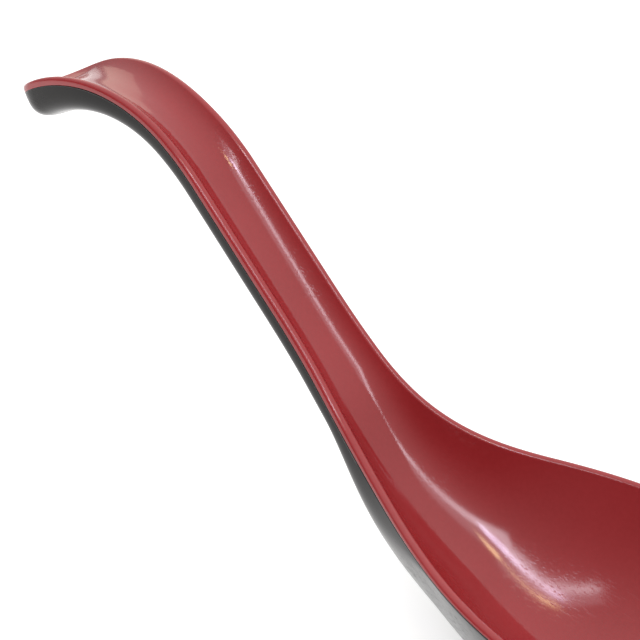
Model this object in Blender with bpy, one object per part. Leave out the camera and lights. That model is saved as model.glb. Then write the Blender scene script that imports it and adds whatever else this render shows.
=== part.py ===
"""Hooked soup spoon moulded in two bonded layers of glossy plastic.

The red inner layer lines the handle channel and the bowl and rolls over the
rim.  The black outer shell carries it from below and ends in a flat foot, on
which the spoon stands.  Both layers are swept from one side curve of the rim
and one half-width law.  Units are metres, +Z is up, +X points to the nose and
the XZ plane is the plane of symmetry.
"""

import math

import bmesh
import bpy
import numpy as np

# Side curve of the rim crest, walked from the handle's end to the nose
END_RUN = 0.0005            # straight run at the handle's end
END_DROOP = math.radians(33.0)
HOOK_ARC = 0.0550           # length of the bend over the top of the hook
HOOK_EASE = 0.13            # 0 = one arc, 1 = eased at both ends
SHANK_FALL = math.radians(40.2)
SHANK_RUN = 0.0391          # straight part of the handle
NECK_ARC = 0.0330           # bend from the handle into the bowl rim
NECK_EASE = 0.50
RIM_FALL = math.radians(2.0)
WIDEST_RUN = 0.0415         # from the end of the neck to the widest section
NOSE_RUN = 0.0250           # from the widest section to the nose

# Widths over the rim crests
END_WIDTH = 0.0152
END_ROUND = 0.0076          # length of the rounded handle end
END_SQUARENESS = 2.4        # superellipse exponent of the handle end
END_FLARE_RUN = 0.0370
WAIST_WIDTH = 0.0122
BOWL_WIDTH = 0.0478
BOWL_FLARE_RUN = 0.0895     # length over which the waist opens into the bowl
BOWL_FLARE_POWER = 2.2
NOSE_SQUARENESS = 2.1

# Depths below the rim crest
END_DEPTH = 0.0020          # of the channel at the handle's end
CHANNEL_DEPTH = 0.0030      # and along the handle
BOWL_DEPTH = 0.0205
INSIDE_RAMP = 0.0505        # length over which the channel deepens to the bowl
INSIDE_DEEPEST = 0.0180     # from the end of the neck to the full inside depth
OUTSIDE_RAMP = 0.0355       # the same two for the underside, which is fuller
OUTSIDE_DEEPEST = 0.0075
NOSE_LIFT = 0.0018          # depth lost again between the deepest and the widest
CHANNEL_FLATNESS = 2.8      # exponent of the floor, high = flat floor
HEEL_FLATNESS = 1.65        # the same at the back of the bowl
BOWL_FLATNESS = 2.3         # the same at its widest

# Walls
CREST_RADIUS = 0.0008       # rounding of the rim crest
END_FLOOR = 0.0052          # full thickness of both layers at the handle's end
CHANNEL_FLOOR = 0.0026      # the same along the straight handle
BOWL_FLOOR = 0.0055         # the same under the bowl
HANDLE_SQUARENESS = 3.8     # superellipse exponent of the handle's underside
HEEL_FULLNESS = 1.8         # exponent of the underside at the back of the bowl
BOWL_FULLNESS = 3.0         # the same at its widest
RED_SHARE = 0.40            # share of the thickness taken by the inner layer
SEAM_DEPTH_HANDLE = 0.0013  # red edge showing on the outside of the handle
SEAM_DEPTH_BOWL = 0.0008    # the same on the bowl
BOND_GAP = 0.0003           # clearance drawn between the layers
FOOT_TRIM = 0.0025          # cut off the lowest point to make the flat foot

# Mesh density
END_STATIONS = 7
STRIP_STATIONS = 38
NOSE_STATIONS = 12
ROWS = np.array([0.0, 0.25, 0.45, 0.62, 0.76, 0.87, 0.95, 1.0])
CREST_STEPS = 5
EDGE_STEPS = 5
UNDER_STEPS = 10
ROW_CROWDING = 1.25         # above 1 crowds the rows towards the rim
PROFILE_SAMPLES = 60
SPINE_STEP = 0.00025
FIRST_SLOPE = math.radians(60.0)
SLOPE_PASSES = 12
MERGE = 1.0e-6
HALF = 0.5

SHANK_START = END_RUN + HOOK_ARC
NECK_START = SHANK_START + SHANK_RUN
NECK_END = NECK_START + NECK_ARC
WIDEST = NECK_END + WIDEST_RUN
NOSE = WIDEST + NOSE_RUN

RED = (0.42, 0.022, 0.024, 1.0)
BLACK = (0.012, 0.011, 0.010, 1.0)
RED_ROUGHNESS = 0.10
BLACK_ROUGHNESS = 0.12


def ease(t):
    """Smooth step from 0 to 1."""
    t = np.clip(t, 0.0, 1.0)
    return t * t * (3.0 - 2.0 * t)


def mix(first, second, share):
    """Blend of two values."""
    return first + (second - first) * share


def bend(t, softness):
    """Share of a bend done at t: an even arc, softened towards its ends."""
    t = np.clip(t, 0.0, 1.0)
    return (1.0 - softness) * t + softness * ease(t)


def flare(t):
    """Opening of the bowl, slow at both ends."""
    t = np.clip(t, 0.0, 1.0)
    rise = t ** BOWL_FLARE_POWER
    rest = (1.0 - t) ** BOWL_FLARE_POWER
    return rise / (rise + rest)


def side_curve():
    """Run, slope, x and z of the rim crest along its side view."""
    margin = END_ROUND
    count = int(round((NOSE + 2.0 * margin) / SPINE_STEP)) + 1
    run = np.linspace(-margin, NOSE + margin, count)
    hook = bend((run - END_RUN) / HOOK_ARC, HOOK_EASE)
    neck = bend((run - NECK_START) / NECK_ARC, NECK_EASE)
    slope = END_DROOP - (END_DROOP + SHANK_FALL) * hook
    slope = slope + (SHANK_FALL - RIM_FALL) * neck
    step = np.diff(run)
    mid = HALF * (slope[1:] + slope[:-1])
    x = np.concatenate([[0.0], np.cumsum(np.cos(mid) * step)])
    z = np.concatenate([[0.0], np.cumsum(np.sin(mid) * step)])
    return run, slope, x, z


def end_share(run):
    """1 over the handle's end, 0 once the flare has run out."""
    return 1.0 - ease((run - END_ROUND) / END_FLARE_RUN)


def half_width(run):
    """Half the width over the crests at a run along the side curve."""
    end = end_share(run)
    bowl = flare((run - WIDEST + BOWL_FLARE_RUN) / BOWL_FLARE_RUN)
    width = WAIST_WIDTH + (END_WIDTH - WAIST_WIDTH) * end
    return HALF * (width + (BOWL_WIDTH - WAIST_WIDTH) * bowl)


def depth_share(run, ramp, deepest):
    """0 in the handle channel, 1 at the full depth of the bowl."""
    return float(ease((run - NECK_END - deepest + ramp) / ramp))


def nose_lift(run):
    """Depth lost towards the nose, so that the bowl grows shallower."""
    start = NECK_END + INSIDE_DEEPEST
    return NOSE_LIFT * float(ease((run - start) / (WIDEST - start)))


def quarter(count, squareness):
    """Unit superellipse quarter from (1, 0) to (0, 1), both ends included."""
    angle = np.linspace(0.0, HALF * math.pi, count + 1)
    c = np.abs(np.cos(angle)) ** squareness
    s = np.abs(np.sin(angle)) ** squareness
    reach = (c + s) ** (-1.0 / squareness)
    return reach * np.cos(angle), reach * np.sin(angle)


def half_outline():
    """Crest outline of one side: runs, offsets and the foot run of each."""
    back, side = quarter(END_STATIONS, END_SQUARENESS)
    end_half = half_width(np.array([END_ROUND]))[0]
    end_run = END_ROUND * (1.0 - back)
    end_off = end_half * side
    strip = np.linspace(END_ROUND, WIDEST, STRIP_STATIONS + 1)[1:-1]
    ahead, out = quarter(NOSE_STATIONS, NOSE_SQUARENESS)
    nose_run = WIDEST + NOSE_RUN * ahead[::-1]
    nose_off = HALF * BOWL_WIDTH * out[::-1]
    run = np.concatenate([end_run, strip, nose_run])
    off = np.concatenate([end_off, half_width(strip), nose_off])
    centre = np.clip(run, END_ROUND, WIDEST)
    return run, off, centre


def outline():
    """Closed crest outline with its outward normals and centre runs."""
    run, off, centre = half_outline()
    off[0] = 0.0
    off[-1] = 0.0
    run = np.concatenate([run, run[-2:0:-1]])
    centre = np.concatenate([centre, centre[-2:0:-1]])
    off = np.concatenate([off, -off[-2:0:-1]])
    d_run = np.roll(run, -1) - np.roll(run, 1)
    d_off = np.roll(off, -1) - np.roll(off, 1)
    length = np.hypot(d_run, d_off)
    normal = np.stack([-d_off / length, d_run / length], axis=-1)
    return np.stack([run, off], axis=-1), normal, centre


class Section:
    """One cross-section of the walls, square to the side curve."""

    def __init__(self, crest, normal, centre):
        inside = depth_share(centre, INSIDE_RAMP, INSIDE_DEEPEST)
        under = depth_share(centre, OUTSIDE_RAMP, OUTSIDE_DEEPEST)
        ahead = float(ease((centre - NECK_END) / WIDEST_RUN))
        lift = nose_lift(centre)
        channel = mix(CHANNEL_DEPTH, END_DEPTH, end_share(centre))
        shallow = channel + mix(CHANNEL_FLOOR, END_FLOOR, end_share(centre))
        deep = BOWL_DEPTH + BOWL_FLOOR
        self.normal = normal
        self.under = under
        self.flatness = mix(CHANNEL_FLATNESS, HEEL_FLATNESS, under)
        self.flatness += (BOWL_FLATNESS - HEEL_FLATNESS) * ahead
        self.fullness = mix(HEEL_FULLNESS, BOWL_FULLNESS, ahead)
        self.seam = mix(SEAM_DEPTH_HANDLE, SEAM_DEPTH_BOWL, inside)
        self.depth = mix(channel, BOWL_DEPTH, inside) - lift
        self.bottom = mix(shallow, deep, under) - lift
        self.fit_inside(crest, normal, centre)
        self.fit_outside()

    def fit_inside(self, crest, normal, centre):
        """Find the wall slope that runs smoothly into the crest rounding."""
        beta = FIRST_SLOPE
        on_strip = END_ROUND < centre < WIDEST
        for _ in range(SLOPE_PASSES):
            inset = CREST_RADIUS * math.sin(beta)
            edge = crest - inset * normal
            middle = np.array([edge[0] if on_strip else centre, 0.0])
            reach = np.linalg.norm(edge - middle)
            drop = self.depth - CREST_RADIUS * (1.0 - math.cos(beta))
            beta = math.atan(self.flatness * drop / reach)
        self.beta = beta
        self.edge = edge
        self.middle = middle
        self.reach = reach
        self.drop = drop

    def fit_outside(self):
        """Find how far the crest rounding turns before the underside starts."""
        lean = HALF * math.pi
        for _ in range(SLOPE_PASSES):
            out, depth = self.crest(lean, lean, 1)[0]
            hull = math.atan(self.fullness * (self.bottom - depth) / out)
            lean = HALF * math.pi + self.under * (HALF * math.pi - hull)
        self.lean = lean
        self.out_reach = out
        self.out_edge = depth

    def slope(self, rows):
        """Slope of the inside at each row."""
        lift = self.flatness * self.drop * rows ** (self.flatness - 1.0)
        return np.arctan(lift / self.reach)

    def offset(self, rows, thickness):
        """Distance from the middle and depth of a surface below the inside."""
        slope = self.slope(rows)
        edge_depth = CREST_RADIUS * (1.0 - math.cos(self.beta))
        depth = edge_depth + self.drop * (1.0 - rows ** self.flatness)
        out = rows * self.reach + thickness * np.sin(slope)
        return np.stack([out, depth + thickness * np.cos(slope)], axis=-1)

    def wall(self, rows):
        """Thickness of both layers, taken square to the inside at each row."""
        inside = self.offset(rows, 0.0)
        under = self.underside()[::-1]
        below = np.interp(inside[:, 0], under[:, 0], under[:, 1])
        return (below - inside[:, 1]) * np.cos(self.slope(rows))

    def crest(self, start, end, count):
        """Points of the crest rounding between two lean angles."""
        angle = np.linspace(start, end, count)
        centre = self.reach + CREST_RADIUS * math.sin(self.beta)
        out = centre + CREST_RADIUS * np.sin(angle)
        return np.stack([out, CREST_RADIUS * (1.0 - np.cos(angle))], axis=-1)

    def underside(self):
        """Dense profile of the underside from the crest rounding inwards."""
        rows = np.sin(np.linspace(HALF * math.pi, 0.0, PROFILE_SAMPLES))
        slab = (1.0 - rows ** HANDLE_SQUARENESS) ** (1.0 / HANDLE_SQUARENESS)
        fall = mix(slab, 1.0 - rows ** self.fullness, self.under)
        depth = mix(self.out_edge, self.bottom, fall)
        return np.stack([rows * self.out_reach, depth], axis=-1)

    def outside(self):
        """Dense outer profile from the crest down to the middle."""
        top = self.crest(0.0, self.lean, PROFILE_SAMPLES)
        return np.concatenate([top, self.underside()[1:]])

    def bond(self, clearance):
        """Dense profile under the inner layer, from the rim to the middle."""
        rows = np.linspace(1.0, 0.0, PROFILE_SAMPLES)
        return self.offset(rows, RED_SHARE * self.wall(rows) + clearance)

    def plan(self, points):
        """Runs and offsets of section points in the unrolled plan."""
        along = self.edge - self.middle
        along = along / np.linalg.norm(along)
        inner = np.minimum(points[:, 0], self.reach)
        outer = np.maximum(points[:, 0] - self.reach, 0.0)
        return self.middle + inner[:, None] * along + outer[:, None] * self.normal


def cut_profile(profile, first_depth, last_depth, count, crowd):
    """Resample a profile between two depths, crowding points at its start."""
    step = np.linalg.norm(np.diff(profile, axis=0), axis=1)
    length = np.concatenate([[0.0], np.cumsum(step)])
    first = np.interp(first_depth, profile[:, 1], length)
    last = np.interp(last_depth, profile[:, 1], length)
    at = first + (last - first) * np.linspace(0.0, 1.0, count) ** crowd
    out = np.interp(at, length, profile[:, 0])
    return np.stack([out, np.interp(at, length, profile[:, 1])], axis=-1)


def inner_ring(section):
    """Closed half-section of the inner layer, from its middle to its middle."""
    top = section.offset(ROWS, 0.0)
    crest = section.crest(-section.beta, 0.0, CREST_STEPS)[1:-1]
    side = cut_profile(section.outside(), 0.0, section.seam, EDGE_STEPS, 1.0)
    under = cut_profile(section.bond(0.0), section.seam, section.bottom,
                        len(ROWS), ROW_CROWDING)
    return np.concatenate([top, crest, side, under])


def outer_ring(section):
    """Closed half-section of the outer shell, from its middle to its middle."""
    start = section.seam + BOND_GAP
    end = section.bottom
    top = cut_profile(section.bond(BOND_GAP), start, end, len(ROWS), ROW_CROWDING)
    bottom = cut_profile(section.outside(), start, end, UNDER_STEPS, ROW_CROWDING)
    return np.concatenate([top[::-1], bottom])


def to_world(plan, depth, curve):
    """Wrap unrolled plan points and depths onto the side curve."""
    run, slope, x, z = curve
    tilt = np.interp(plan[:, 0], run, slope)
    px = np.interp(plan[:, 0], run, x) + depth * np.sin(tilt)
    pz = np.interp(plan[:, 0], run, z) - depth * np.cos(tilt)
    return np.stack([px, plan[:, 1], pz], axis=-1)


def layer_mesh(ring_of, sections, curve):
    """Skin one layer: rings joined round the outline, merged at the middle."""
    mesh = bmesh.new()
    rings = []
    for section in sections:
        ring = ring_of(section)
        points = to_world(section.plan(ring), ring[:, 1], curve)
        rings.append([mesh.verts.new(point) for point in points])
    for here, after in zip(rings, rings[1:] + rings[:1]):
        for i in range(len(here) - 1):
            mesh.faces.new((here[i], after[i], after[i + 1], here[i + 1]))
    bmesh.ops.remove_doubles(mesh, verts=mesh.verts, dist=MERGE)
    bmesh.ops.recalc_face_normals(mesh, faces=mesh.faces)
    return mesh


def trim_foot(mesh, level):
    """Cut the underside flat at a level and close it with one face."""
    geometry = mesh.verts[:] + mesh.edges[:] + mesh.faces[:]
    bmesh.ops.bisect_plane(mesh, geom=geometry, plane_co=(0.0, 0.0, level),
                           plane_no=(0.0, 0.0, -1.0), clear_outer=True)
    border = [edge for edge in mesh.edges if edge.is_boundary]
    bmesh.ops.edgeloop_fill(mesh, edges=border)
    bmesh.ops.dissolve_degenerate(mesh, edges=mesh.edges, dist=MERGE)
    bmesh.ops.recalc_face_normals(mesh, faces=mesh.faces)


def plastic(name, colour, roughness):
    """Glossy moulded plastic."""
    material = bpy.data.materials.new(name)
    material.use_nodes = True
    shader = material.node_tree.nodes["Principled BSDF"]
    shader.inputs["Base Color"].default_value = colour
    shader.inputs["Roughness"].default_value = roughness
    shader.inputs["Coat Weight"].default_value = 1.0
    return material


def add_object(name, mesh, material, shift):
    """Turn a bmesh into a named scene object, moved into place."""
    bmesh.ops.translate(mesh, verts=mesh.verts, vec=shift)
    data = bpy.data.meshes.new(name)
    mesh.to_mesh(data)
    mesh.free()
    data.shade_smooth()
    data.materials.append(material)
    bpy.context.collection.objects.link(bpy.data.objects.new(name, data))


def main():
    for old in list(bpy.data.objects):
        bpy.data.objects.remove(old, do_unlink=True)
    curve = side_curve()
    crests, normals, centres = outline()
    sections = [Section(*parts) for parts in zip(crests, normals, centres)]
    shell = layer_mesh(outer_ring, sections, curve)
    lining = layer_mesh(inner_ring, sections, curve)
    foot = min(vert.co.z for vert in shell.verts) + FOOT_TRIM
    trim_foot(shell, foot)
    xs = [vert.co.x for mesh in (shell, lining) for vert in mesh.verts]
    shift = (-HALF * (min(xs) + max(xs)), 0.0, -foot)
    add_object("outer_shell", shell, plastic("black_plastic", BLACK, BLACK_ROUGHNESS), shift)
    add_object("inner_layer", lining, plastic("red_plastic", RED, RED_ROUGHNESS), shift)


main()
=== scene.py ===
"""Looks of the hooked soup spoon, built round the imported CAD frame.

Both layers are swept again from the CAD part's own side curve, width law and
wall laws, much finer than the CAD solids.  The seam between them is drawn
closed, with two small rounded lips, and the foot gets a rounded edge.  Units
are metres, +Z is up, +X points to the nose of the bowl.
"""

import math

import bmesh
import bpy
import numpy as np
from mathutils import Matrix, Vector


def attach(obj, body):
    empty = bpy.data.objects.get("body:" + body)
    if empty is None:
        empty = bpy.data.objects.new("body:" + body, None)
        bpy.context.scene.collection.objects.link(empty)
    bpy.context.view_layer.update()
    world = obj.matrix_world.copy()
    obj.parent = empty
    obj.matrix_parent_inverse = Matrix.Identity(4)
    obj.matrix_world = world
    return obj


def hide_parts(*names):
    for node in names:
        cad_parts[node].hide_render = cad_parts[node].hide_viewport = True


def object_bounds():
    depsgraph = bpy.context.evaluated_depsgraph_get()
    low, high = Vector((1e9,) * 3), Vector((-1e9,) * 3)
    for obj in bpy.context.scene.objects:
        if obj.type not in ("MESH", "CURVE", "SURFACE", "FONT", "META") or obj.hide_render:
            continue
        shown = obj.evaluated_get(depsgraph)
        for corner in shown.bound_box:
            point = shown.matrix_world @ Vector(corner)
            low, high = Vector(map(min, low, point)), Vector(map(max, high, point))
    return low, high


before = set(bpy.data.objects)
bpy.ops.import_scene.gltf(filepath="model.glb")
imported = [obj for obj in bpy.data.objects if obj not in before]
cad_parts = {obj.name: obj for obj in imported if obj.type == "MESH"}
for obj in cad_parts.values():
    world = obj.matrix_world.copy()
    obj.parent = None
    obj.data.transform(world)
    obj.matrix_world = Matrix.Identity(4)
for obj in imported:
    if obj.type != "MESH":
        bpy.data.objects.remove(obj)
CAD_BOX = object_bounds()

# Side curve of the rim crest, walked from the handle's end to the nose
END_RUN = 0.0005            # straight run at the handle's end
END_DROOP = math.radians(33.0)
HOOK_ARC = 0.0550           # length of the bend over the top of the hook
HOOK_EASE = 0.13            # 0 = one arc, 1 = eased at both ends
SHANK_FALL = math.radians(40.2)
SHANK_RUN = 0.0391          # straight part of the handle
NECK_ARC = 0.0330           # bend from the handle into the bowl rim
NECK_EASE = 0.50
RIM_FALL = math.radians(2.0)
WIDEST_RUN = 0.0415         # from the end of the neck to the widest section
NOSE_RUN = 0.0250           # from the widest section to the nose

# Widths over the rim crests
END_WIDTH = 0.0152
END_ROUND = 0.0076          # length of the rounded handle end
END_SQUARENESS = 2.4        # superellipse exponent of the handle end
END_FLARE_RUN = 0.0370
WAIST_WIDTH = 0.0122
BOWL_WIDTH = 0.0478
BOWL_FLARE_RUN = 0.0895     # length over which the waist opens into the bowl
BOWL_FLARE_POWER = 2.2
NOSE_SQUARENESS = 2.1

# Depths below the rim crest
END_DEPTH = 0.0020          # of the channel at the handle's end
CHANNEL_DEPTH = 0.0030      # and along the handle
BOWL_DEPTH = 0.0205
INSIDE_RAMP = 0.0505        # length over which the channel deepens to the bowl
INSIDE_DEEPEST = 0.0180     # from the end of the neck to the full inside depth
OUTSIDE_RAMP = 0.0355       # the same two for the underside, which is fuller
OUTSIDE_DEEPEST = 0.0075
NOSE_LIFT = 0.0018          # depth lost again between the deepest and the widest
CHANNEL_FLATNESS = 2.8      # exponent of the floor, high = flat floor
HEEL_FLATNESS = 1.65        # the same at the back of the bowl
BOWL_FLATNESS = 2.3         # the same at its widest

# Walls
CREST_RADIUS = 0.0008       # rounding of the rim crest
END_FLOOR = 0.0052          # full thickness of both layers at the handle's end
CHANNEL_FLOOR = 0.0026      # the same along the straight handle
BOWL_FLOOR = 0.0055         # the same under the bowl
HANDLE_SQUARENESS = 3.8     # superellipse exponent of the handle's underside
HEEL_FULLNESS = 1.8         # exponent of the underside at the back of the bowl
BOWL_FULLNESS = 3.0         # the same at its widest
RED_SHARE = 0.40            # share of the thickness taken by the inner layer
SEAM_DEPTH_HANDLE = 0.0013  # red edge showing on the outside of the handle
SEAM_DEPTH_BOWL = 0.0008    # the same on the bowl
SEAM_GAP = 0.00004          # hairline left between the layers
LIP_ROUND = 0.00014         # rounding of the two lips at the seam
FOOT_TRIM = 0.0025          # height above the lowest point that is pressed flat
FOOT_ROUND = 0.00025        # softness of the foot's edge

# Mesh density
HALF = 0.5
END_STATIONS = 22
STRIP_STATIONS = 210
NOSE_STATIONS = 44
ROW_COUNT = 30
ROWS = np.sin(np.linspace(0.0, HALF * math.pi, ROW_COUNT))
CREST_STEPS = 12
EDGE_STEPS = 9
UNDER_STEPS = 44
LIP_STEPS = 4
ROW_CROWDING = 1.25         # above 1 crowds the rows towards the rim
PROFILE_SAMPLES = 240
SPINE_STEP = 0.00025
FIRST_SLOPE = math.radians(60.0)
SLOPE_PASSES = 12
MERGE = 1.0e-6

SHANK_START = END_RUN + HOOK_ARC
NECK_START = SHANK_START + SHANK_RUN
NECK_END = NECK_START + NECK_ARC
WIDEST = NECK_END + WIDEST_RUN
NOSE = WIDEST + NOSE_RUN

# Plastics: colours, roughness from clear to hazy, and the share of the paler rim colour, a
# painted highlight along the crest mixed with wear
# The paler rim colour of each plastic is a painted highlight along the rim crest, together
# with its wear
RED = {"dark": (0.265, 0.017, 0.019, 1.0), "light": (0.305, 0.022, 0.025, 1.0),
       "highlight_and_wear": (0.42, 0.05, 0.05, 1.0), "highlight_and_wear_share": 0.20, "gloss": 0.09, "haze": 0.15,
       "specular": 0.5}
BLACK = {"dark": (0.006, 0.0055, 0.005, 1.0), "light": (0.010, 0.009, 0.008, 1.0),
         "highlight_and_wear": (0.05, 0.045, 0.04, 1.0), "highlight_and_wear_share": 0.35, "gloss": 0.12, "haze": 0.20,
         "specular": 0.16}
PLASTIC_IOR = 1.5

# Noise patterns: scale per metre and detail, then the range that is used
CLOUD = (55.0, 3.0)         # clouding of the colour and the gloss
CLOUD_RANGE = (0.3, 0.7)
GRAIN = (1400.0, 2.0)       # fine grain of the colour
GRAIN_RANGE = (0.35, 0.65)
GRAIN_SHARE = 0.3
WAVES = (260.0, 1.0)        # soft waves of the moulded surface
WAVE_HEIGHT = 0.00001
HIGHLIGHT_AND_WEAR_PATCHES = (900.0, 4.0)         # patches in the painted highlight and the wear of the rim
HIGHLIGHT_AND_WEAR_RANGE = (0.35, 0.65)
HIGHLIGHT_AND_WEAR_LEAST = 0.4
HIGHLIGHT_AND_WEAR_DEPTH = 0.0004         # depth below the crest at which the painted highlight and the wear end
SCUFF = 0.12                # roughness added where it is worn or scratched
SCRATCH = (1.0, 0.0)        # stretched into lines by the runs below
SCRATCH_RANGE = (0.70, 0.76)
SCRATCH_DEPTH = 0.000004
PATCHES = (38.0, 1.0)       # places where the scratches show
PATCH_RANGE = (0.45, 0.60)
PAPER = (30.0, 3.0)         # unevenness of the floor
FULL = (0.0, 1.0)
PLAIN = (1.0, 1.0, 1.0)

# Turn and scales per metre of the three runs of scratches
SCRATCH_RUNS = (((0.0, 0.7, 0.3), (30.0, 2600.0, 2600.0)),
                ((0.2, 0.5, 1.1), (40.0, 3100.0, 3100.0)),
                ((0.1, -0.4, -0.6), (35.0, 2900.0, 2900.0)))

# Sockets of a colour mix
MIX_COLOURS = (6, 7)
MIX_RESULT = 2

# Stage
FLOOR_WHITE = (0.62, 0.62, 0.615, 1.0)
PAPER_SHADE = 0.985         # darkest shade of the paper
PAPER_GLOW = (1.05, 0.80)   # lit from below like a light table, and further out
PAPER_ROUGHNESS = 0.9
PAPER_SPECULAR = 0.1
GLOW_EDGE = (0.45, 1.0)     # radii between which that light falls off
FLOOR_RADIUS = 3.2
FLOOR_FLAT = 1.6            # radius up to which the floor is flat
FLOOR_CURVE = 10.0          # the floor rises by the square beyond, over this
FLOOR_RINGS = 32
FLOOR_SIDES = 96
ROOM_WHITE = (1.0, 1.0, 1.0, 1.0)
ROOM_LIGHT = (0.05, 1.35)   # radiance of the room on its dim and its bright side
ROOM_RANGE = (-0.10, 1.0)   # cosines between which it brightens
BRIGHT_SIDE = (195.0, 73.0)  # azimuth and elevation

# Name, azimuth, elevation, distance, size, radiance and colour of each soft box
LIGHTS = (
    ("strip", 54.0, 57.5, 1.0, (1.35, 0.085), 7.0, (0.97, 0.92, 1.0)),
    ("strip_haze", 54.0, 62.0, 1.02, (1.35, 0.20), 1.6, (0.96, 0.90, 1.0)),
    ("strip_core", 23.5, 57.0, 0.95, (0.10, 0.08), 18.0, (0.82, 0.74, 1.0)),
    ("warm_lamp", 31.0, 65.5, 0.95, (0.12, 0.06), 16.0, (1.0, 0.74, 0.36)),
    ("hook_glow", 236.0, 22.0, 1.1, (0.7, 0.50), 0.7, (1.0, 0.80, 0.62)),
)

# Camera, looking at a point just on the near side of the XZ plane
CAMERA_AZIMUTH = 45.94
CAMERA_ELEVATION = 28.75
CAMERA_DISTANCE = 0.234
TARGET = (-0.0057, -0.0090, 0.0485)
LENS = 84.375
SENSOR = 36.0
NEAR_CLIP = 0.01


def ease(t):
    """Smooth step from 0 to 1."""
    t = np.clip(t, 0.0, 1.0)
    return t * t * (3.0 - 2.0 * t)


def mix(first, second, share):
    """Blend of two values."""
    return first + (second - first) * share


def bend(t, softness):
    """Share of a bend done at t: an even arc, softened towards its ends."""
    t = np.clip(t, 0.0, 1.0)
    return (1.0 - softness) * t + softness * ease(t)


def flare(t):
    """Opening of the bowl, slow at both ends."""
    t = np.clip(t, 0.0, 1.0)
    rise = t ** BOWL_FLARE_POWER
    rest = (1.0 - t) ** BOWL_FLARE_POWER
    return rise / (rise + rest)


def side_curve():
    """Run, slope, x and z of the rim crest along its side view."""
    margin = END_ROUND
    count = int(round((NOSE + 2.0 * margin) / SPINE_STEP)) + 1
    run = np.linspace(-margin, NOSE + margin, count)
    hook = bend((run - END_RUN) / HOOK_ARC, HOOK_EASE)
    neck = bend((run - NECK_START) / NECK_ARC, NECK_EASE)
    slope = END_DROOP - (END_DROOP + SHANK_FALL) * hook
    slope = slope + (SHANK_FALL - RIM_FALL) * neck
    step = np.diff(run)
    mid = HALF * (slope[1:] + slope[:-1])
    x = np.concatenate([[0.0], np.cumsum(np.cos(mid) * step)])
    z = np.concatenate([[0.0], np.cumsum(np.sin(mid) * step)])
    return run, slope, x, z


def end_share(run):
    """1 over the handle's end, 0 once the flare has run out."""
    return 1.0 - ease((run - END_ROUND) / END_FLARE_RUN)


def half_width(run):
    """Half the width over the crests at a run along the side curve."""
    end = end_share(run)
    bowl = flare((run - WIDEST + BOWL_FLARE_RUN) / BOWL_FLARE_RUN)
    width = WAIST_WIDTH + (END_WIDTH - WAIST_WIDTH) * end
    return HALF * (width + (BOWL_WIDTH - WAIST_WIDTH) * bowl)


def depth_share(run, ramp, deepest):
    """0 in the handle channel, 1 at the full depth of the bowl."""
    return float(ease((run - NECK_END - deepest + ramp) / ramp))


def nose_lift(run):
    """Depth lost towards the nose, so that the bowl grows shallower."""
    start = NECK_END + INSIDE_DEEPEST
    return NOSE_LIFT * float(ease((run - start) / (WIDEST - start)))


def quarter(count, squareness):
    """Unit superellipse quarter from (1, 0) to (0, 1), both ends included."""
    angle = np.linspace(0.0, HALF * math.pi, count + 1)
    c = np.abs(np.cos(angle)) ** squareness
    s = np.abs(np.sin(angle)) ** squareness
    reach = (c + s) ** (-1.0 / squareness)
    return reach * np.cos(angle), reach * np.sin(angle)


def half_outline():
    """Crest outline of one side: runs, offsets and the foot run of each."""
    back, side = quarter(END_STATIONS, END_SQUARENESS)
    end_half = half_width(np.array([END_ROUND]))[0]
    end_run = END_ROUND * (1.0 - back)
    end_off = end_half * side
    strip = np.linspace(END_ROUND, WIDEST, STRIP_STATIONS + 1)[1:-1]
    ahead, out = quarter(NOSE_STATIONS, NOSE_SQUARENESS)
    nose_run = WIDEST + NOSE_RUN * ahead[::-1]
    nose_off = HALF * BOWL_WIDTH * out[::-1]
    run = np.concatenate([end_run, strip, nose_run])
    off = np.concatenate([end_off, half_width(strip), nose_off])
    centre = np.clip(run, END_ROUND, WIDEST)
    return run, off, centre


def outline():
    """Closed crest outline with its outward normals and centre runs."""
    run, off, centre = half_outline()
    off[0] = 0.0
    off[-1] = 0.0
    run = np.concatenate([run, run[-2:0:-1]])
    centre = np.concatenate([centre, centre[-2:0:-1]])
    off = np.concatenate([off, -off[-2:0:-1]])
    d_run = np.roll(run, -1) - np.roll(run, 1)
    d_off = np.roll(off, -1) - np.roll(off, 1)
    length = np.hypot(d_run, d_off)
    normal = np.stack([-d_off / length, d_run / length], axis=-1)
    return np.stack([run, off], axis=-1), normal, centre


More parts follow.
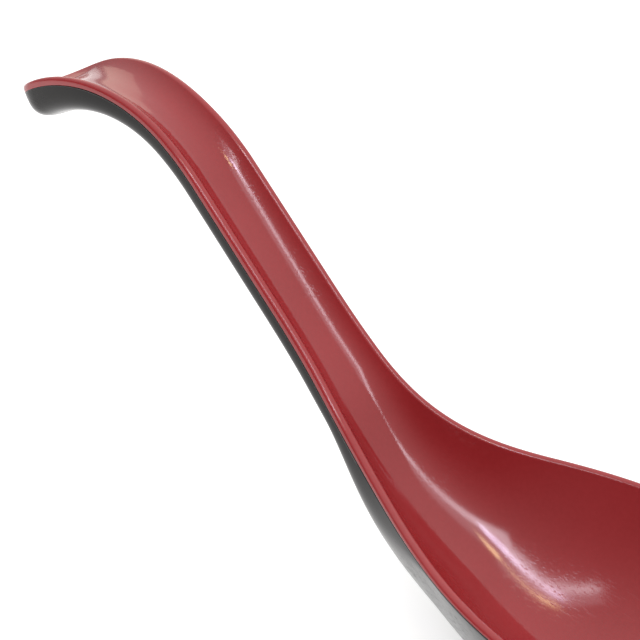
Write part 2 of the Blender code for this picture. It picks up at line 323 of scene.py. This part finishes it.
class Section:
    """One cross-section of the walls, square to the side curve."""

    def __init__(self, crest, normal, centre):
        inside = depth_share(centre, INSIDE_RAMP, INSIDE_DEEPEST)
        under = depth_share(centre, OUTSIDE_RAMP, OUTSIDE_DEEPEST)
        ahead = float(ease((centre - NECK_END) / WIDEST_RUN))
        lift = nose_lift(centre)
        channel = mix(CHANNEL_DEPTH, END_DEPTH, end_share(centre))
        shallow = channel + mix(CHANNEL_FLOOR, END_FLOOR, end_share(centre))
        deep = BOWL_DEPTH + BOWL_FLOOR
        self.normal = normal
        self.under = under
        self.flatness = mix(CHANNEL_FLATNESS, HEEL_FLATNESS, under)
        self.flatness += (BOWL_FLATNESS - HEEL_FLATNESS) * ahead
        self.fullness = mix(HEEL_FULLNESS, BOWL_FULLNESS, ahead)
        self.seam = mix(SEAM_DEPTH_HANDLE, SEAM_DEPTH_BOWL, inside)
        self.depth = mix(channel, BOWL_DEPTH, inside) - lift
        self.bottom = mix(shallow, deep, under) - lift
        self.fit_inside(crest, normal, centre)
        self.fit_outside()

    def fit_inside(self, crest, normal, centre):
        """Find the wall slope that runs smoothly into the crest rounding."""
        beta = FIRST_SLOPE
        on_strip = END_ROUND < centre < WIDEST
        for _ in range(SLOPE_PASSES):
            inset = CREST_RADIUS * math.sin(beta)
            edge = crest - inset * normal
            middle = np.array([edge[0] if on_strip else centre, 0.0])
            reach = np.linalg.norm(edge - middle)
            drop = self.depth - CREST_RADIUS * (1.0 - math.cos(beta))
            beta = math.atan(self.flatness * drop / reach)
        self.beta = beta
        self.edge = edge
        self.middle = middle
        self.reach = reach
        self.drop = drop

    def fit_outside(self):
        """Find how far the crest rounding turns before the underside starts."""
        lean = HALF * math.pi
        for _ in range(SLOPE_PASSES):
            out, depth = self.crest(lean, lean, 1)[0]
            hull = math.atan(self.fullness * (self.bottom - depth) / out)
            lean = HALF * math.pi + self.under * (HALF * math.pi - hull)
        self.lean = lean
        self.out_reach = out
        self.out_edge = depth

    def slope(self, rows):
        """Slope of the inside at each row."""
        lift = self.flatness * self.drop * rows ** (self.flatness - 1.0)
        return np.arctan(lift / self.reach)

    def offset(self, rows, thickness):
        """Distance from the middle and depth of a surface below the inside."""
        slope = self.slope(rows)
        edge_depth = CREST_RADIUS * (1.0 - math.cos(self.beta))
        depth = edge_depth + self.drop * (1.0 - rows ** self.flatness)
        out = rows * self.reach + thickness * np.sin(slope)
        return np.stack([out, depth + thickness * np.cos(slope)], axis=-1)

    def wall(self, rows):
        """Thickness of both layers, taken square to the inside at each row."""
        inside = self.offset(rows, 0.0)
        under = self.underside()[::-1]
        below = np.interp(inside[:, 0], under[:, 0], under[:, 1])
        return (below - inside[:, 1]) * np.cos(self.slope(rows))

    def crest(self, start, end, count):
        """Points of the crest rounding between two lean angles."""
        angle = np.linspace(start, end, count)
        centre = self.reach + CREST_RADIUS * math.sin(self.beta)
        out = centre + CREST_RADIUS * np.sin(angle)
        return np.stack([out, CREST_RADIUS * (1.0 - np.cos(angle))], axis=-1)

    def underside(self):
        """Dense profile of the underside from the crest rounding inwards."""
        rows = np.sin(np.linspace(HALF * math.pi, 0.0, PROFILE_SAMPLES))
        slab = (1.0 - rows ** HANDLE_SQUARENESS) ** (1.0 / HANDLE_SQUARENESS)
        fall = mix(slab, 1.0 - rows ** self.fullness, self.under)
        depth = mix(self.out_edge, self.bottom, fall)
        return np.stack([rows * self.out_reach, depth], axis=-1)

    def outside(self):
        """Dense outer profile from the crest down to the middle."""
        top = self.crest(0.0, self.lean, PROFILE_SAMPLES)
        return np.concatenate([top, self.underside()[1:]])

    def bond(self, clearance):
        """Dense profile under the inner layer, from the rim to the middle."""
        rows = np.linspace(1.0, 0.0, PROFILE_SAMPLES)
        return self.offset(rows, RED_SHARE * self.wall(rows) + clearance)

    def plan(self, points):
        """Runs and offsets of section points in the unrolled plan."""
        along = self.edge - self.middle
        along = along / np.linalg.norm(along)
        inner = np.minimum(points[:, 0], self.reach)
        outer = np.maximum(points[:, 0] - self.reach, 0.0)
        return self.middle + inner[:, None] * along + outer[:, None] * self.normal


def cut_profile(profile, first_depth, last_depth, count, crowd):
    """Resample a profile between two depths, crowding points at its start."""
    step = np.linalg.norm(np.diff(profile, axis=0), axis=1)
    length = np.concatenate([[0.0], np.cumsum(step)])
    first = np.interp(first_depth, profile[:, 1], length)
    last = np.interp(last_depth, profile[:, 1], length)
    at = first + (last - first) * np.linspace(0.0, 1.0, count) ** crowd
    out = np.interp(at, length, profile[:, 0])
    return np.stack([out, np.interp(at, length, profile[:, 1])], axis=-1)


def rounded(before, corner, after, radius):
    """Small fillet that replaces a corner between its two neighbours."""
    back = before - corner
    ahead = after - corner
    start = corner + radius * back / np.linalg.norm(back)
    end = corner + radius * ahead / np.linalg.norm(ahead)
    t = np.linspace(0.0, 1.0, LIP_STEPS + 1)[:, None]
    return (1.0 - t) ** 2 * start + 2.0 * t * (1.0 - t) * corner + t * t * end


def inner_ring(section):
    """Closed half-section of the inner layer, from its middle to its middle."""
    top = section.offset(ROWS, 0.0)
    crest = section.crest(-section.beta, 0.0, CREST_STEPS)[1:-1]
    side = cut_profile(section.outside(), 0.0, section.seam, EDGE_STEPS, 1.0)
    under = cut_profile(section.bond(0.0), section.seam, section.bottom,
                        len(ROWS), ROW_CROWDING)
    lip = rounded(side[-2], side[-1], under[0], LIP_ROUND)
    return np.concatenate([top, crest, side[:-1], lip, under])


def outer_ring(section):
    """Closed half-section of the outer shell, from its middle to its middle."""
    start = section.seam + SEAM_GAP
    end = section.bottom
    top = cut_profile(section.bond(SEAM_GAP), start, end, len(ROWS), ROW_CROWDING)
    bottom = cut_profile(section.outside(), start, end, UNDER_STEPS, ROW_CROWDING)
    lip = rounded(top[0], bottom[0], bottom[1], LIP_ROUND)
    return np.concatenate([top[::-1], lip, bottom[1:]])


def to_world(plan, depth, curve):
    """Wrap unrolled plan points and depths onto the side curve."""
    run, slope, x, z = curve
    tilt = np.interp(plan[:, 0], run, slope)
    px = np.interp(plan[:, 0], run, x) + depth * np.sin(tilt)
    pz = np.interp(plan[:, 0], run, z) - depth * np.cos(tilt)
    return np.stack([px, plan[:, 1], pz], axis=-1)


def crest_highlight_and_wear(ring):
    """Mask of the painted crest highlight and the rim wear: 1 on the rim crest, fading to 0
    a little way down either side of it.
    """
    return np.clip(1.0 - ring[:, 1] / HIGHLIGHT_AND_WEAR_DEPTH, 0.0, 1.0)


def layer_mesh(ring_of, sections, curve):
    """Skin one layer: rings joined round the outline, merged at the middle."""
    mesh = bmesh.new()
    highlight_and_wear = mesh.verts.layers.float.new("crest_highlight_and_wear")
    # Each vertex carries the mask of the painted crest highlight and the wear
    rings = []
    for section in sections:
        ring = ring_of(section)
        points = to_world(section.plan(ring), ring[:, 1], curve)
        verts = [mesh.verts.new(point) for point in points]
        for vert, highlight_and_wear_amount in zip(verts, crest_highlight_and_wear(ring)):
            vert[highlight_and_wear] = highlight_and_wear_amount
        rings.append(verts)
    for here, after in zip(rings, rings[1:] + rings[:1]):
        for i in range(len(here) - 1):
            mesh.faces.new((here[i], after[i], after[i + 1], here[i + 1]))
    bmesh.ops.remove_doubles(mesh, verts=mesh.verts, dist=MERGE)
    bmesh.ops.recalc_face_normals(mesh, faces=mesh.faces)
    return mesh


def press_foot(mesh, level):
    """Flatten what is below a level, with a softly rounded edge."""
    for vert in mesh.verts:
        above = vert.co.z - level
        vert.co.z = level + HALF * (above + math.hypot(above, FOOT_ROUND))


def add_piece(name, mesh, material, shift):
    """Turn a bmesh into a piece that stands for its CAD node."""
    bmesh.ops.translate(mesh, verts=mesh.verts, vec=shift)
    data = bpy.data.meshes.new(name)
    mesh.to_mesh(data)
    mesh.free()
    data.shade_smooth()
    data.materials.append(material)
    piece = bpy.data.objects.new(name, data)
    bpy.context.collection.objects.link(piece)
    return piece


def new_node(tree, kind, **settings):
    """Add a shader node and set its properties or inputs by name."""
    node = tree.nodes.new(kind)
    for name, value in settings.items():
        label = name.replace("_", " ").title()
        if label in node.inputs:
            node.inputs[label].default_value = value
        else:
            setattr(node, name, value)
    return node


def place(tree, scale, turn=(0.0, 0.0, 0.0)):
    """Coordinates on the object in metres, scaled and turned."""
    coords = new_node(tree, "ShaderNodeTexCoord")
    mapping = new_node(tree, "ShaderNodeMapping", rotation=turn, scale=scale)
    tree.links.new(coords.outputs["Object"], mapping.inputs["Vector"])
    return mapping.outputs["Vector"]


def noise(tree, vector, scale, detail):
    """Value of a noise texture."""
    made = new_node(tree, "ShaderNodeTexNoise", scale=scale, detail=detail)
    tree.links.new(vector, made.inputs["Vector"])
    return made.outputs["Fac"]


def remap(tree, value, low, high, to_low, to_high):
    """Map a value from one range to another, clamped."""
    made = new_node(tree, "ShaderNodeMapRange", from_min=low, from_max=high,
                    to_min=to_low, to_max=to_high)
    tree.links.new(value, made.inputs["Value"])
    return made.outputs["Result"]


def combine(tree, operation, first, second):
    """Two values put together by a math node."""
    made = new_node(tree, "ShaderNodeMath", operation=operation)
    for socket, value in zip(made.inputs, (first, second)):
        if isinstance(value, float):
            socket.default_value = value
        else:
            tree.links.new(value, socket)
    return made.outputs["Value"]


def tint(tree, share, first, second):
    """Mix of two colours, or of a node's colour and another colour."""
    made = new_node(tree, "ShaderNodeMix", data_type="RGBA")
    tree.links.new(share, made.inputs["Factor"])
    for socket, colour in zip(MIX_COLOURS, (first, second)):
        if isinstance(colour, tuple):
            made.inputs[socket].default_value = colour
        else:
            tree.links.new(colour, made.inputs[socket])
    return made.outputs[MIX_RESULT]


def scratches(tree):
    """Sparse hairline scratches in three directions, 1 on a scratch."""
    marks = []
    for turn, stretch in SCRATCH_RUNS:
        line = noise(tree, place(tree, stretch, turn), *SCRATCH)
        marks.append(remap(tree, line, *SCRATCH_RANGE, *FULL))
    total = marks[0]
    for mark in marks[1:]:
        total = combine(tree, "MAXIMUM", total, mark)
    patches = noise(tree, place(tree, PLAIN), *PATCHES)
    shown = remap(tree, patches, *PATCH_RANGE, *FULL)
    return combine(tree, "MULTIPLY", total, shown)


def bump(tree, height, distance, before=None):
    """Bump from a height of 0 to 1 that stands for a distance in metres."""
    made = new_node(tree, "ShaderNodeBump", strength=1.0, distance=distance)
    tree.links.new(height, made.inputs["Height"])
    if before is not None:
        tree.links.new(before, made.inputs["Normal"])
    return made.outputs["Normal"]


def rim_highlight_and_wear(tree, plain):
    """Painted highlight and wear along the rim crest, 0 to 1, in patches."""
    rim = new_node(tree, "ShaderNodeAttribute", attribute_name="crest_highlight_and_wear")
    patches = remap(tree, noise(tree, plain, *HIGHLIGHT_AND_WEAR_PATCHES), *HIGHLIGHT_AND_WEAR_RANGE, HIGHLIGHT_AND_WEAR_LEAST, 1.0)
    return combine(tree, "MULTIPLY", rim.outputs["Fac"], patches)


def plastic_colour(tree, look, plain, cloud, highlight_and_wear_amount):
    """Clouded and grained colour that turns paler on the rim crest: a painted highlight
    together with the wear of the rim.
    """
    grain = remap(tree, noise(tree, plain, *GRAIN), *GRAIN_RANGE, *FULL)
    clouded = combine(tree, "MULTIPLY", cloud, 1.0 - GRAIN_SHARE)
    grained = combine(tree, "MULTIPLY", grain, GRAIN_SHARE)
    mottle = combine(tree, "ADD", clouded, grained)
    body = tint(tree, mottle, look["dark"], look["light"])
    # The paler colour on the crest is a painted highlight, mixed with wear
    highlight_and_wear_mix = combine(tree, "MULTIPLY", highlight_and_wear_amount, look["highlight_and_wear_share"])
    return tint(tree, highlight_and_wear_mix, body, look["highlight_and_wear"])


def plastic_roughness(tree, look, cloud, highlight_and_wear_amount, marks):
    """Gloss that is hazier in clouds and scuffed where worn or scratched."""
    haze = remap(tree, cloud, *FULL, look["gloss"], look["haze"])
    harm = combine(tree, "MAXIMUM", marks, highlight_and_wear_amount)
    return combine(tree, "ADD", haze, combine(tree, "MULTIPLY", harm, SCUFF))


def plastic_relief(tree, plain, marks):
    """Soft waves with the scratches cut into them."""
    waves = bump(tree, noise(tree, plain, *WAVES), WAVE_HEIGHT)
    return bump(tree, combine(tree, "SUBTRACT", 1.0, marks), SCRATCH_DEPTH, waves)


def gloss_plastic(name, look):
    """Glossy moulded plastic with clouded colour, waves, wear and scratches, and a painted
    highlight on the rim crest.
    """
    material = bpy.data.materials.new(name)
    material.use_nodes = True
    tree = material.node_tree
    plain = place(tree, PLAIN)
    cloud = remap(tree, noise(tree, plain, *CLOUD), *CLOUD_RANGE, *FULL)
    highlight_and_wear_amount = rim_highlight_and_wear(tree, plain)
    marks = scratches(tree)
    shader = tree.nodes["Principled BSDF"]
    sockets = {"Base Color": plastic_colour(tree, look, plain, cloud, highlight_and_wear_amount),
               "Roughness": plastic_roughness(tree, look, cloud, highlight_and_wear_amount, marks),
               "Normal": plastic_relief(tree, plain, marks)}
    for label, value in sockets.items():
        tree.links.new(value, shader.inputs[label])
    shader.inputs["IOR"].default_value = PLASTIC_IOR
    shader.inputs["Specular IOR Level"].default_value = look["specular"]
    return material


def paper(name, colour):
    """Matt pale paper, faintly uneven, that glows more near the object."""
    material = bpy.data.materials.new(name)
    material.use_nodes = True
    tree = material.node_tree
    shader = tree.nodes["Principled BSDF"]
    shader.inputs["Roughness"].default_value = PAPER_ROUGHNESS
    shader.inputs["Specular IOR Level"].default_value = PAPER_SPECULAR
    shader.inputs["Emission Color"].default_value = colour
    plain = place(tree, PLAIN)
    reach = new_node(tree, "ShaderNodeVectorMath", operation="LENGTH")
    tree.links.new(plain, reach.inputs[0])
    glow = remap(tree, reach.outputs["Value"], *GLOW_EDGE, *PAPER_GLOW)
    tree.links.new(glow, shader.inputs["Emission Strength"])
    shade = tuple(PAPER_SHADE * value for value in colour[:3]) + (1.0,)
    uneven = tint(tree, noise(tree, plain, *PAPER), shade, colour)
    tree.links.new(uneven, shader.inputs["Base Color"])
    return material


def toward(azimuth, elevation):
    """Unit vector up to a place round the object; azimuth 0 is at -Y."""
    a = math.radians(azimuth)
    e = math.radians(elevation)
    return Vector((math.sin(a) * math.cos(e), -math.cos(a) * math.cos(e), math.sin(e)))


def aim(thing, at, back, distance):
    """Put a camera or light at a distance from a point, turned to face it."""
    thing.location = at + distance * back
    thing.rotation_mode = "QUATERNION"
    thing.rotation_quaternion = (-back).to_track_quat("-Z", "Y")
    bpy.context.collection.objects.link(thing)


def floor_mesh():
    """Flat disc that rises gently towards its far edge."""
    mesh = bmesh.new()
    rings = []
    angles = np.linspace(0.0, 2.0 * math.pi, FLOOR_SIDES + 1)[:-1]
    for radius in np.linspace(0.0, FLOOR_RADIUS, FLOOR_RINGS + 1)[1:]:
        rise = max(0.0, radius - FLOOR_FLAT) ** 2 / FLOOR_CURVE
        spots = [(radius * math.cos(turn), radius * math.sin(turn), rise) for turn in angles]
        rings.append([mesh.verts.new(spot) for spot in spots])
    mesh.faces.new(rings[0])
    for inner, outer in zip(rings, rings[1:]):
        for i in range(FLOOR_SIDES):
            j = (i + 1) % FLOOR_SIDES
            mesh.faces.new((inner[i], outer[i], outer[j], inner[j]))
    return mesh


def add_floor():
    """Pale floor at the foot's level."""
    data = bpy.data.meshes.new("floor")
    mesh = floor_mesh()
    mesh.to_mesh(data)
    mesh.free()
    data.shade_smooth()
    data.materials.append(paper("pale_paper", FLOOR_WHITE))
    floor = bpy.data.objects.new("floor", data)
    floor.location = (0.0, 0.0, CAD_BOX[0].z)
    bpy.context.collection.objects.link(floor)


def add_light(at, name, azimuth, elevation, distance, size, radiance, colour):
    """Soft box of one radiance that faces a point."""
    light = bpy.data.lights.new(name, "AREA")
    light.shape = "RECTANGLE"
    light.size, light.size_y = size
    light.energy = radiance * math.pi * size[0] * size[1]
    light.color = colour
    aim(bpy.data.objects.new(name, light), at, toward(azimuth, elevation), distance)


def add_world():
    """White room light that brightens smoothly towards one side overhead."""
    world = bpy.data.worlds.new("room")
    world.use_nodes = True
    tree = world.node_tree
    room = tree.nodes["Background"]
    coords = new_node(tree, "ShaderNodeTexCoord")
    facing = new_node(tree, "ShaderNodeVectorMath", operation="DOT_PRODUCT")
    facing.inputs[1].default_value = toward(*BRIGHT_SIDE)
    tree.links.new(coords.outputs["Generated"], facing.inputs[0])
    glow = remap(tree, facing.outputs["Value"], *ROOM_RANGE, *ROOM_LIGHT)
    glow.node.interpolation_type = "SMOOTHSTEP"
    tree.links.new(glow, room.inputs["Strength"])
    room.inputs["Color"].default_value = ROOM_WHITE
    bpy.context.scene.world = world


def add_camera(at):
    """Camera that looks down the handle from the near side."""
    lens = bpy.data.cameras.new("camera")
    lens.lens = LENS
    lens.sensor_width = SENSOR
    lens.clip_start = NEAR_CLIP
    camera = bpy.data.objects.new("camera", lens)
    aim(camera, at, toward(CAMERA_AZIMUTH, CAMERA_ELEVATION), CAMERA_DISTANCE)
    bpy.context.scene.camera = camera


def build_layers():
    """Mesh of the shell and of the lining, and the move that places them."""
    curve = side_curve()
    crests, normals, centres = outline()
    sections = [Section(*parts) for parts in zip(crests, normals, centres)]
    shell = layer_mesh(outer_ring, sections, curve)
    lining = layer_mesh(inner_ring, sections, curve)
    foot = min(vert.co.z for vert in shell.verts) + FOOT_TRIM
    press_foot(shell, foot)
    xs = [vert.co.x for mesh in (shell, lining) for vert in mesh.verts]
    middle = HALF * (CAD_BOX[0] + CAD_BOX[1])
    shift = (middle.x - HALF * (min(xs) + max(xs)), middle.y, CAD_BOX[0].z - foot)
    return shell, lining, shift


def add_layers():
    """Add both layers in place of their CAD nodes."""
    shell, lining, shift = build_layers()
    red = add_piece("red_lining", lining, gloss_plastic("red_gloss", RED), shift)
    black = add_piece("black_shell", shell, gloss_plastic("black_gloss", BLACK), shift)
    for piece, node, slot in ((red, "inner_layer", "red_plastic"),
                              (black, "outer_shell", "black_plastic")):
        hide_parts(node)
        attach(piece, "root")


def add_stage():
    """Add the floor, the room, the soft boxes and the camera."""
    target = Vector(TARGET)
    add_floor()
    add_world()
    for light in LIGHTS:
        add_light(target, *light)
    add_camera(target)
    bpy.context.scene.view_settings.view_transform = "Standard"


def main():
    add_layers()
    add_stage()


main()
